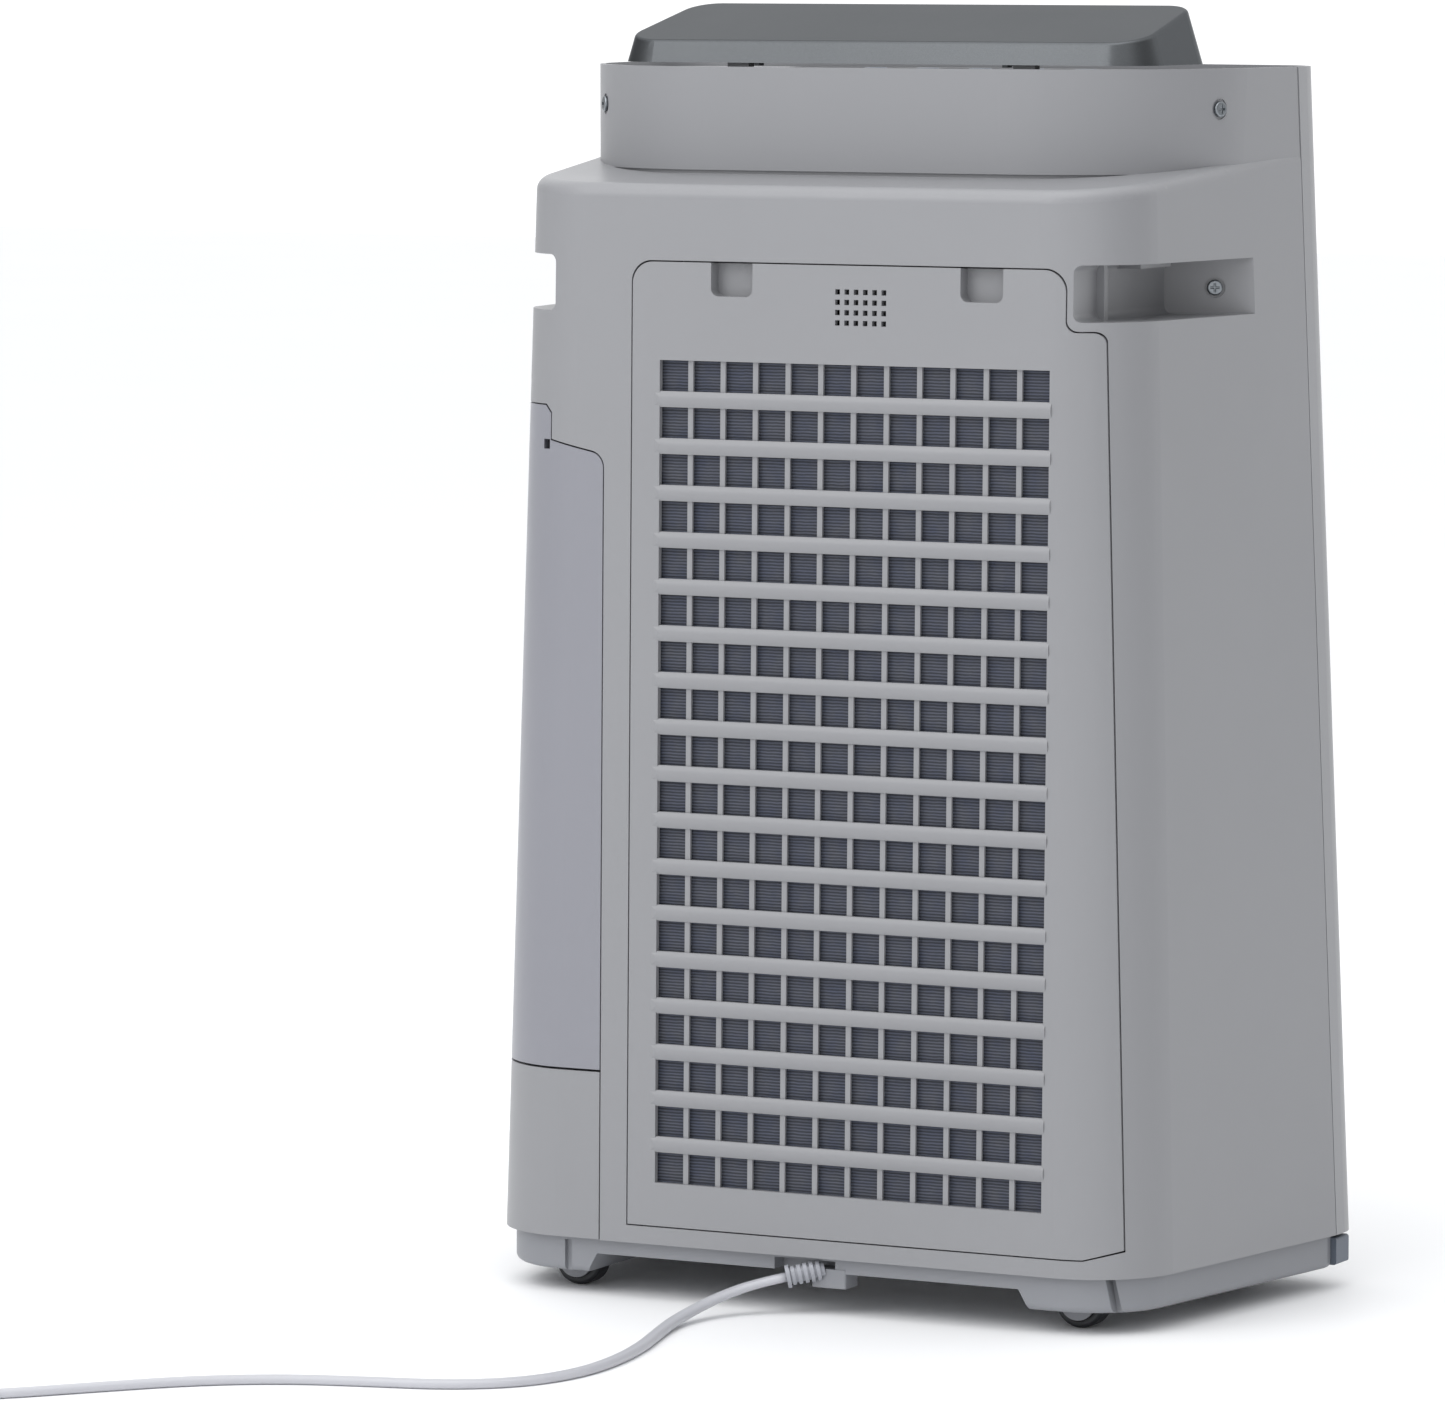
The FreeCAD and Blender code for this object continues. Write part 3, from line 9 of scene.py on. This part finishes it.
import bmesh
import bpy
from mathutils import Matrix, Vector


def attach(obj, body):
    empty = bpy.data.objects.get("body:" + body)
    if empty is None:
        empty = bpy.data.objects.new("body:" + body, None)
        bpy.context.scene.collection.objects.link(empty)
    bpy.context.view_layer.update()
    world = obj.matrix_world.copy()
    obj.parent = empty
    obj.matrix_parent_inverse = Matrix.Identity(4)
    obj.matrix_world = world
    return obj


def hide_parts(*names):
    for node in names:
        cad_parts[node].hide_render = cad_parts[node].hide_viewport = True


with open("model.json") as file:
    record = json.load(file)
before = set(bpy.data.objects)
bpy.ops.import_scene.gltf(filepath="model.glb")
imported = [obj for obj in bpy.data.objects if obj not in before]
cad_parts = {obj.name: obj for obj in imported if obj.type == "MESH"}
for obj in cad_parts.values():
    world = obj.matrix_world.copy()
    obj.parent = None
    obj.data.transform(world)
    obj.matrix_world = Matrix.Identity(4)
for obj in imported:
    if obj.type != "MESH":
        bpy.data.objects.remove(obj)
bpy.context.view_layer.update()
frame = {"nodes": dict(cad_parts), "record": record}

MM = 0.001

# ---- camera ---------------------------------------------------------------------------------
CAMERA_AT = (-1.8315, 3.7214, 0.6938)
CAMERA_YAW, CAMERA_PITCH = 27.5, 5.514      # degrees, from the front direction and below level
SENSOR, LENS = 36.0, 203.9                  # millimetres
CLIP_END = 30.0


def make_camera():
    """Looks at the rear of the object from its -X side, a little from above."""
    data = bpy.data.cameras.new("camera")
    data.sensor_width = SENSOR
    data.lens = LENS
    data.clip_end = CLIP_END
    camera = bpy.data.objects.new("camera", data)
    bpy.context.scene.collection.objects.link(camera)
    yaw, pitch = math.radians(CAMERA_YAW), math.radians(CAMERA_PITCH)
    way = Vector((math.sin(yaw) * math.cos(pitch), -math.cos(yaw) * math.cos(pitch), -math.sin(pitch)))
    camera.location = CAMERA_AT
    camera.rotation_euler = way.to_track_quat("-Z", "Y").to_euler()
    bpy.context.scene.camera = camera


# ---- material helpers -----------------------------------------------------------------------
def new_material(name):
    """A node material, with its tree and its Principled shader."""
    material = bpy.data.materials.new(name)
    material.use_nodes = True
    tree = material.node_tree
    shader = tree.nodes["Principled BSDF"]
    return material, tree, shader


def add(tree, kind, **settings):
    """A new node with its settings."""
    node = tree.nodes.new(kind)
    for key, value in settings.items():
        setattr(node, key, value)
    return node


def place(tree):
    """The place on the object, in metres."""
    source = add(tree, "ShaderNodeTexCoord")
    return source.outputs["Object"]


def noise(tree, vector, scale, detail=3.0, rough=0.5):
    """Fractal noise from 0 to 1."""
    node = add(tree, "ShaderNodeTexNoise")
    node.inputs["Scale"].default_value = scale
    node.inputs["Detail"].default_value = detail
    node.inputs["Roughness"].default_value = rough
    tree.links.new(vector, node.inputs["Vector"])
    return node.outputs["Fac"]


def ramp(tree, value, low, high, at=(0.3, 0.7)):
    """A colour between low and high, as value goes between the two places in at."""
    node = add(tree, "ShaderNodeValToRGB")
    node.color_ramp.elements[0].position, node.color_ramp.elements[1].position = at
    node.color_ramp.elements[0].color = (*low, 1)
    node.color_ramp.elements[1].color = (*high, 1)
    tree.links.new(value, node.inputs["Fac"])
    return node.outputs["Color"]


def spread(tree, value, low, high):
    """Value from 0 to 1, spread between low and high."""
    node = add(tree, "ShaderNodeMapRange")
    node.inputs["To Min"].default_value = low
    node.inputs["To Max"].default_value = high
    tree.links.new(value, node.inputs["Value"])
    return node.outputs["Result"]


def bump(tree, shader, height, strength, distance):
    """Surface relief from height, up to distance deep."""
    node = add(tree, "ShaderNodeBump")
    node.inputs["Strength"].default_value = strength
    node.inputs["Distance"].default_value = distance
    tree.links.new(height, node.inputs["Height"])
    tree.links.new(node.outputs["Normal"], shader.inputs["Normal"])


DRIFT_SCALE, SMUDGE_SCALE, GRAIN_SCALE = 6.0, 35.0, 2600.0      # noise cells per metre, roughly
STREAK_SCALE, FLAKE_SCALE = 400.0, 5200.0
NET_RIB_SCALE, NET_THREAD_SCALE = 200.0, 520.0


def moulded(name, colour, rough, shade=0.03, grain=0.03 * MM):
    """Moulded plastic: slight shade drift, fine grain and faint uneven gloss."""
    material, tree, shader = new_material(name)
    vector = place(tree)
    drift = noise(tree, vector, DRIFT_SCALE, 4.0)
    low = [c * (1 - shade) for c in colour]
    high = [min(1.0, c * (1 + shade)) for c in colour]
    tree.links.new(ramp(tree, drift, low, high), shader.inputs["Base Color"])
    smudge = noise(tree, vector, SMUDGE_SCALE, 4.0)
    tree.links.new(spread(tree, smudge, rough - 0.04, rough + 0.05), shader.inputs["Roughness"])
    bump(tree, shader, noise(tree, vector, GRAIN_SCALE, 2.0), 0.35, grain)
    return material


def metal(name, colour, rough):
    """Bare metal with fine uneven brightness."""
    material, tree, shader = new_material(name)
    shader.inputs["Metallic"].default_value = 1.0
    vector = place(tree)
    streak = noise(tree, vector, STREAK_SCALE, 5.0)
    low = [c * 0.86 for c in colour]
    tree.links.new(ramp(tree, streak, low, colour), shader.inputs["Base Color"])
    tree.links.new(spread(tree, streak, rough - 0.06, rough + 0.1), shader.inputs["Roughness"])
    bump(tree, shader, streak, 0.15, 0.05 * MM)
    return material


def louvre_material():
    """Dark silver metallic paint under a thin satin coat."""
    material, tree, shader = new_material("silver_paint")
    vector = place(tree)
    flake = noise(tree, vector, FLAKE_SCALE, 1.0)
    colour = ramp(tree, flake, (0.07, 0.075, 0.08), (0.108, 0.114, 0.12))
    tree.links.new(colour, shader.inputs["Base Color"])
    drift = noise(tree, vector, 14.0, 3.0)
    tree.links.new(spread(tree, drift, 0.27, 0.34), shader.inputs["Roughness"])
    shader.inputs["Metallic"].default_value = 0.8
    shader.inputs["Specular Tint"].default_value = (0.42, 0.43, 0.44, 1)
    shader.inputs["Coat Weight"].default_value = 0.08
    shader.inputs["Coat Roughness"].default_value = 0.16
    bump(tree, shader, flake, 0.08, 0.02 * MM)
    return material


def net_material():
    """Fine woven dust net: dark thread with fine cross ribs and cloudy dust."""
    material, tree, shader = new_material("dust_net")
    vector = place(tree)
    cloudy = noise(tree, vector, 90.0, 5.0, 0.6)
    ribs = add(tree, "ShaderNodeTexWave", wave_type="BANDS", bands_direction="Z")
    ribs.inputs["Scale"].default_value = NET_RIB_SCALE
    ribs.inputs["Distortion"].default_value = 1.2
    ribs.inputs["Detail"].default_value = 2.0
    tree.links.new(vector, ribs.inputs["Vector"])
    threads = add(tree, "ShaderNodeTexWave", wave_type="BANDS", bands_direction="X")
    threads.inputs["Scale"].default_value = NET_THREAD_SCALE
    tree.links.new(vector, threads.inputs["Vector"])
    weave = add(tree, "ShaderNodeMath", operation="MULTIPLY")
    tree.links.new(ribs.outputs["Fac"], weave.inputs[0])
    tree.links.new(spread(tree, threads.outputs["Fac"], 0.6, 1.0), weave.inputs[1])
    thread_colour = ramp(tree, weave.outputs[0], (0.02, 0.023, 0.031), (0.09, 0.098, 0.128),
                         (0.1, 0.9))
    dust = ramp(tree, cloudy, (0.72, 0.78, 0.95), (1.12, 1.08, 1.02), (0.3, 0.72))
    mixed = add(tree, "ShaderNodeMix", data_type="RGBA", blend_type="MULTIPLY")
    mixed.inputs["Factor"].default_value = 1.0
    tree.links.new(thread_colour, mixed.inputs["A"])
    tree.links.new(dust, mixed.inputs["B"])
    tree.links.new(mixed.outputs["Result"], shader.inputs["Base Color"])
    shader.inputs["Roughness"].default_value = 0.75
    shader.inputs["Sheen Weight"].default_value = 0.2
    bump(tree, shader, weave.outputs[0], 0.6, 0.2 * MM)
    return material


def fibre_material(name, colour, scale):
    """Matted fibres, matt and soft."""
    material, tree, shader = new_material(name)
    vector = place(tree)
    fibre = noise(tree, vector, scale, 6.0, 0.65)
    low = [c * 0.65 for c in colour]
    tree.links.new(ramp(tree, fibre, low, colour), shader.inputs["Base Color"])
    shader.inputs["Roughness"].default_value = 0.9
    bump(tree, shader, fibre, 0.7, 0.4 * MM)
    return material


def honeycomb_material():
    """The humidifying wheel's pad of small cells."""
    material, tree, shader = new_material("evaporator_pad")
    vector = place(tree)
    cells = add(tree, "ShaderNodeTexVoronoi", feature="DISTANCE_TO_EDGE")
    cells.inputs["Scale"].default_value = 260.0
    cells.inputs["Randomness"].default_value = 0.15
    tree.links.new(vector, cells.inputs["Vector"])
    colour = ramp(tree, cells.outputs["Distance"], (0.75, 0.86, 0.88), (0.12, 0.2, 0.23), (0.08, 0.3))
    tree.links.new(colour, shader.inputs["Base Color"])
    shader.inputs["Roughness"].default_value = 0.7
    bump(tree, shader, cells.outputs["Distance"], 0.8, 1.0 * MM)
    return material


def board_material():
    """Green lacquered circuit board with a grid of tracks."""
    material, tree, shader = new_material("circuit_board")
    vector = place(tree)
    tracks = add(tree, "ShaderNodeTexBrick")
    tracks.inputs["Scale"].default_value = 120.0
    tracks.inputs["Mortar Size"].default_value = 0.03
    tracks.inputs["Color1"].default_value = (0.012, 0.1, 0.04, 1)
    tracks.inputs["Color2"].default_value = (0.015, 0.13, 0.05, 1)
    tracks.inputs["Mortar"].default_value = (0.05, 0.22, 0.1, 1)
    tree.links.new(vector, tracks.inputs["Vector"])
    tree.links.new(tracks.outputs["Color"], shader.inputs["Base Color"])
    shader.inputs["Roughness"].default_value = 0.35
    return material


CASING = (0.256, 0.259, 0.272)
MATERIALS = {
    "casing": moulded("casing_plastic", CASING, 0.36, 0.015),
    "casing_lower": moulded("base_plastic", (0.235, 0.242, 0.262), 0.42, 0.02),
    "silver_flap": louvre_material(),
    "white_plastic": moulded("white_plastic", (0.72, 0.73, 0.74), 0.4),
    "dark_plastic": moulded("dark_plastic", (0.022, 0.024, 0.028), 0.4, 0.1),
    "slate_plastic": moulded("slate_plastic", (0.11, 0.13, 0.165), 0.45, 0.06),
    "clear_tank": moulded("tank_plastic", (0.238, 0.241, 0.27), 0.3, 0.015),
    "net": net_material(),
    "carbon": fibre_material("carbon_felt", (0.03, 0.03, 0.032), 900.0),
    "hepa": fibre_material("filter_paper", (0.82, 0.82, 0.79), 1500.0),
    "evaporator": honeycomb_material(),
    "steel": metal("zinc_plate", (0.27, 0.29, 0.31), 0.3),
    "rubber": moulded("tyre_rubber", (0.011, 0.012, 0.015), 0.42, 0.2, 0.1 * MM),
    "seal": moulded("seal_rubber", (0.3, 0.3, 0.3), 0.6),
    "board": board_material(),
    "lens": moulded("smoked_lens", (0.012, 0.012, 0.015), 0.12, 0.05, 0.01 * MM),
    "cord": moulded("cord_vinyl", (0.50, 0.505, 0.54), 0.34, 0.02, 0.04 * MM),
}
RELIEF = moulded("relief_vinyl", (0.33, 0.34, 0.375), 0.4, 0.03, 0.04 * MM)


def dress_nodes():
    """Gives every CAD node the material of its slot."""
    slots = {s["node"]: s["material_slot"] for s in frame["record"]["subparts"]}
    for name, obj in frame["nodes"].items():
        obj.data.materials.clear()
        material = RELIEF if name == "strain_relief" else MATERIALS[slots[name]]
        obj.data.materials.append(material)


# ---- edges of the CAD nodes -----------------------------------------------------------------
HARD_EDGED = ("rear_cabinet", "front_panel", "base", "water_tank", "humidifier_tray", "top_cover",
              "tank_grip", "stopper_right", "stopper_left")
FINE_EDGED = ("rear_panel", "control_panel", "power_plug", "strain_relief", "fan_nut", "tank_cap")


HARD_ROUND, FINE_ROUND, LOUVRE_ROUND = 0.45 * MM, 0.2 * MM, 1.3 * MM
SHARP_ANGLE, LOUVRE_ANGLE = 35.0, 8.0       # degrees


def soften(names, width, angle=SHARP_ANGLE):
    """Rounds every edge sharper than the angle on these CAD nodes."""
    for name in names:
        obj = frame["nodes"][name]
        bevel = obj.modifiers.new("edge", "BEVEL")
        bevel.width = width
        bevel.segments = 2
        bevel.limit_method = "ANGLE"
        bevel.angle_limit = math.radians(angle)
        bevel.harden_normals = True


# ---- power cord -----------------------------------------------------------------------------
CORD_WIDE, CORD_TALL = 7.2, 4.3
CORD_Z = CORD_TALL / 2
CORD_ROUTE = [
    (6.5, 121.5, 18.6), (20.5, 129.6, 15.2), (31.5, 143.0, 10.4), (37.5, 162.0, 5.8),
    (37.0, 187.0, 3.0), (29.5, 217.0, 2.2), (20.0, 250.0, 2.2), (13.0, 288.0, 2.2),
    (12.5, 328.0, 2.2), (25.0, 362.0, 2.2), (53.0, 384.0, 2.2), (92.0, 394.0, 2.2),
    (130.0, 406.0, 2.2), (166.0, 430.0, 2.2), (196.0, 464.0, 2.2), (228.0, 502.0, 2.2),
    (264.0, 534.0, 2.2), (302.0, 548.0, 2.2),
]
COIL_CENTRE, COIL_R, COIL_START = (318.0, 503.0), 43.0, 110.0
COIL_TURNS, COIL_STEPS = 5.4, 16
COIL_RISE = 3.3                             # height gained in one turn
COIL_WEAVE = 6.2                            # how far neighbouring turns lie apart, in and out
COIL_WOBBLE, COIL_WOBBLE_RATE = 0.8, 2.1
LOBE_STEPS, LOBE_HALF = 8, 112.0            # a lobe's facets, and half its angle in degrees
ROUTE_STEPS = 6


def coil_points():
    """Turns of the put-away length, lying beside and on each other."""
    points = []
    for i in range(int(COIL_TURNS * COIL_STEPS)):
        turn = i / COIL_STEPS
        weave = COIL_WEAVE * (0.5 - abs(turn % 2.0 - 1.0))
        r = COIL_R + weave + COIL_WOBBLE * math.sin(COIL_WOBBLE_RATE * turn)
        a = math.radians(COIL_START) - 2 * math.pi * turn
        points.append((COIL_CENTRE[0] + r * math.cos(a), COIL_CENTRE[1] + r * math.sin(a),
                       CORD_Z + COIL_RISE * turn))
    return points


def smooth_line(points):
    """The points along the NURBS spline that has these control points."""
    data = bpy.data.curves.new("route", "CURVE")
    data.dimensions = "3D"
    data.resolution_u = ROUTE_STEPS
    spline = data.splines.new("NURBS")
    spline.points.add(len(points) - 1)
    for target, point in zip(spline.points, points):
        target.co = (*(v * MM for v in point), 1.0)
    spline.order_u = 3
    spline.use_endpoint_u = True
    obj = bpy.data.objects.new("route", data)
    mesh = bpy.data.meshes.new_from_object(obj)
    line = [v.co.copy() for v in mesh.vertices]
    bpy.data.meshes.remove(mesh)
    bpy.data.objects.remove(obj)
    bpy.data.curves.remove(data)
    return line


def twin_profile():
    """The outline of a flat twin lead: two round lobes with a shallow waist."""
    points = []
    lobe = CORD_TALL / 2
    reach = CORD_WIDE / 2 - lobe
    for side in (1, -1):
        for i in range(LOBE_STEPS + 1):
            a = math.radians(LOBE_HALF * (2 * i / LOBE_STEPS - 1))
            x = side * (reach + lobe * math.cos(a))
            points.append((x, side * lobe * math.sin(a)))
    return points


def sweep(name, line, profile, material):
    """A closed tube of the profile along the line, kept level."""
    mesh = bpy.data.meshes.new(name)
    bm = bmesh.new()
    rings = []
    for i, here in enumerate(line):
        way = (line[min(i + 1, len(line) - 1)] - line[max(i - 1, 0)]).normalized()
        across = way.cross(Vector((0, 0, 1))).normalized()
        up = across.cross(way).normalized()
        rings.append([bm.verts.new(here + across * (u * MM) + up * (v * MM)) for u, v in profile])
    count = len(profile)
    for one, two in zip(rings, rings[1:]):
        for k in range(count):
            bm.faces.new((one[k], one[(k + 1) % count], two[(k + 1) % count], two[k]))
    bm.faces.new(rings[0][::-1])
    bm.faces.new(rings[-1])
    bmesh.ops.recalc_face_normals(bm, faces=bm.faces)
    bm.to_mesh(mesh)
    bm.free()
    for face in mesh.polygons:
        face.use_smooth = True
    mesh.materials.append(material)
    obj = bpy.data.objects.new(name, mesh)
    bpy.context.scene.collection.objects.link(obj)
    return obj


def make_cord():
    """One lead from the strain relief to the plug, along the route and the coil."""
    line = smooth_line(CORD_ROUTE + coil_points())
    cord = sweep("mains_cord", line, twin_profile(), MATERIALS["cord"])
    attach(cord, "cabinet")
    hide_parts("power_cord", "cord_coil")


# ---- floor and light ------------------------------------------------------------------------
WORLD_COLOUR = (0.985, 0.99, 1.0, 1)
WORLD_DIM, WORLD_BRIGHT = 0.3, 1.16
FADE_FROM, FADE_TO = 0.56, 0.97             # how far aside the flags begin and are full
FLOOR_HALF = 12.0
FLOOR_LOW, FLOOR_HIGH = (0.945, 0.95, 0.96), (0.955, 0.96, 0.965)


def make_floor():
    """A plain pale floor."""
    mesh = bpy.data.meshes.new("floor")
    corners = [(x * FLOOR_HALF, y * FLOOR_HALF, 0) for x, y in ((-1, -1), (1, -1), (1, 1), (-1, 1))]
    mesh.from_pydata(corners, [], [(0, 1, 2, 3)])
    floor = bpy.data.objects.new("floor", mesh)
    bpy.context.scene.collection.objects.link(floor)
    material, tree, shader = new_material("pale_floor")
    vector = place(tree)
    shade = ramp(tree, noise(tree, vector, 2.0), FLOOR_LOW, FLOOR_HIGH)
    tree.links.new(shade, shader.inputs["Base Color"])
    shader.inputs["Roughness"].default_value = 0.6
    mesh.materials.append(material)


def area_light(name, place_at, target, size, power):
    """A rectangular lamp at one place, facing another."""
    data = bpy.data.lights.new(name, "AREA")
    data.shape = "RECTANGLE"
    data.size, data.size_y = size
    data.energy = power
    light = bpy.data.objects.new(name, data)
    light.location = place_at
    light.rotation_euler = (Vector(target) - Vector(place_at)).to_track_quat("-Z", "Y").to_euler()
    bpy.context.scene.collection.objects.link(light)


def make_world():
    """A white studio that is dimmer at both sides, where dark flags stand."""
    world = bpy.data.worlds.new("studio")
    bpy.context.scene.world = world
    world.use_nodes = True
    tree = world.node_tree
    back = tree.nodes["Background"]
    back.inputs["Color"].default_value = WORLD_COLOUR
    way = add(tree, "ShaderNodeTexCoord")
    parts = add(tree, "ShaderNodeSeparateXYZ")
    tree.links.new(way.outputs["Generated"], parts.inputs["Vector"])
    aside = add(tree, "ShaderNodeMath", operation="ABSOLUTE")
    tree.links.new(parts.outputs["X"], aside.inputs[0])
    fade = add(tree, "ShaderNodeMapRange", interpolation_type="SMOOTHSTEP")
    fade.inputs["From Min"].default_value = FADE_FROM
    fade.inputs["From Max"].default_value = FADE_TO
    fade.inputs["To Min"].default_value = WORLD_BRIGHT
    fade.inputs["To Max"].default_value = WORLD_DIM
    tree.links.new(aside.outputs[0], fade.inputs["Value"])
    tree.links.new(fade.outputs["Result"], back.inputs["Strength"])


def make_lights():
    """The white surround, one lamp over the rear and one overhead."""
    bpy.context.scene.view_settings.view_transform = "Standard"
    make_world()
    area_light("key", (0.9, 2.1, 1.9), (0, 0, 0.4), (1.3, 1.3), 13.0)
    area_light("top", (0.2, 0.7, 2.8), (0, 0, 0.3), (2.2, 2.2), 25.0)


make_camera()
dress_nodes()
soften(HARD_EDGED, HARD_ROUND)
soften(FINE_EDGED, FINE_ROUND)
soften(("louvre",), LOUVRE_ROUND, LOUVRE_ANGLE)
make_cord()
make_floor()
make_lights()
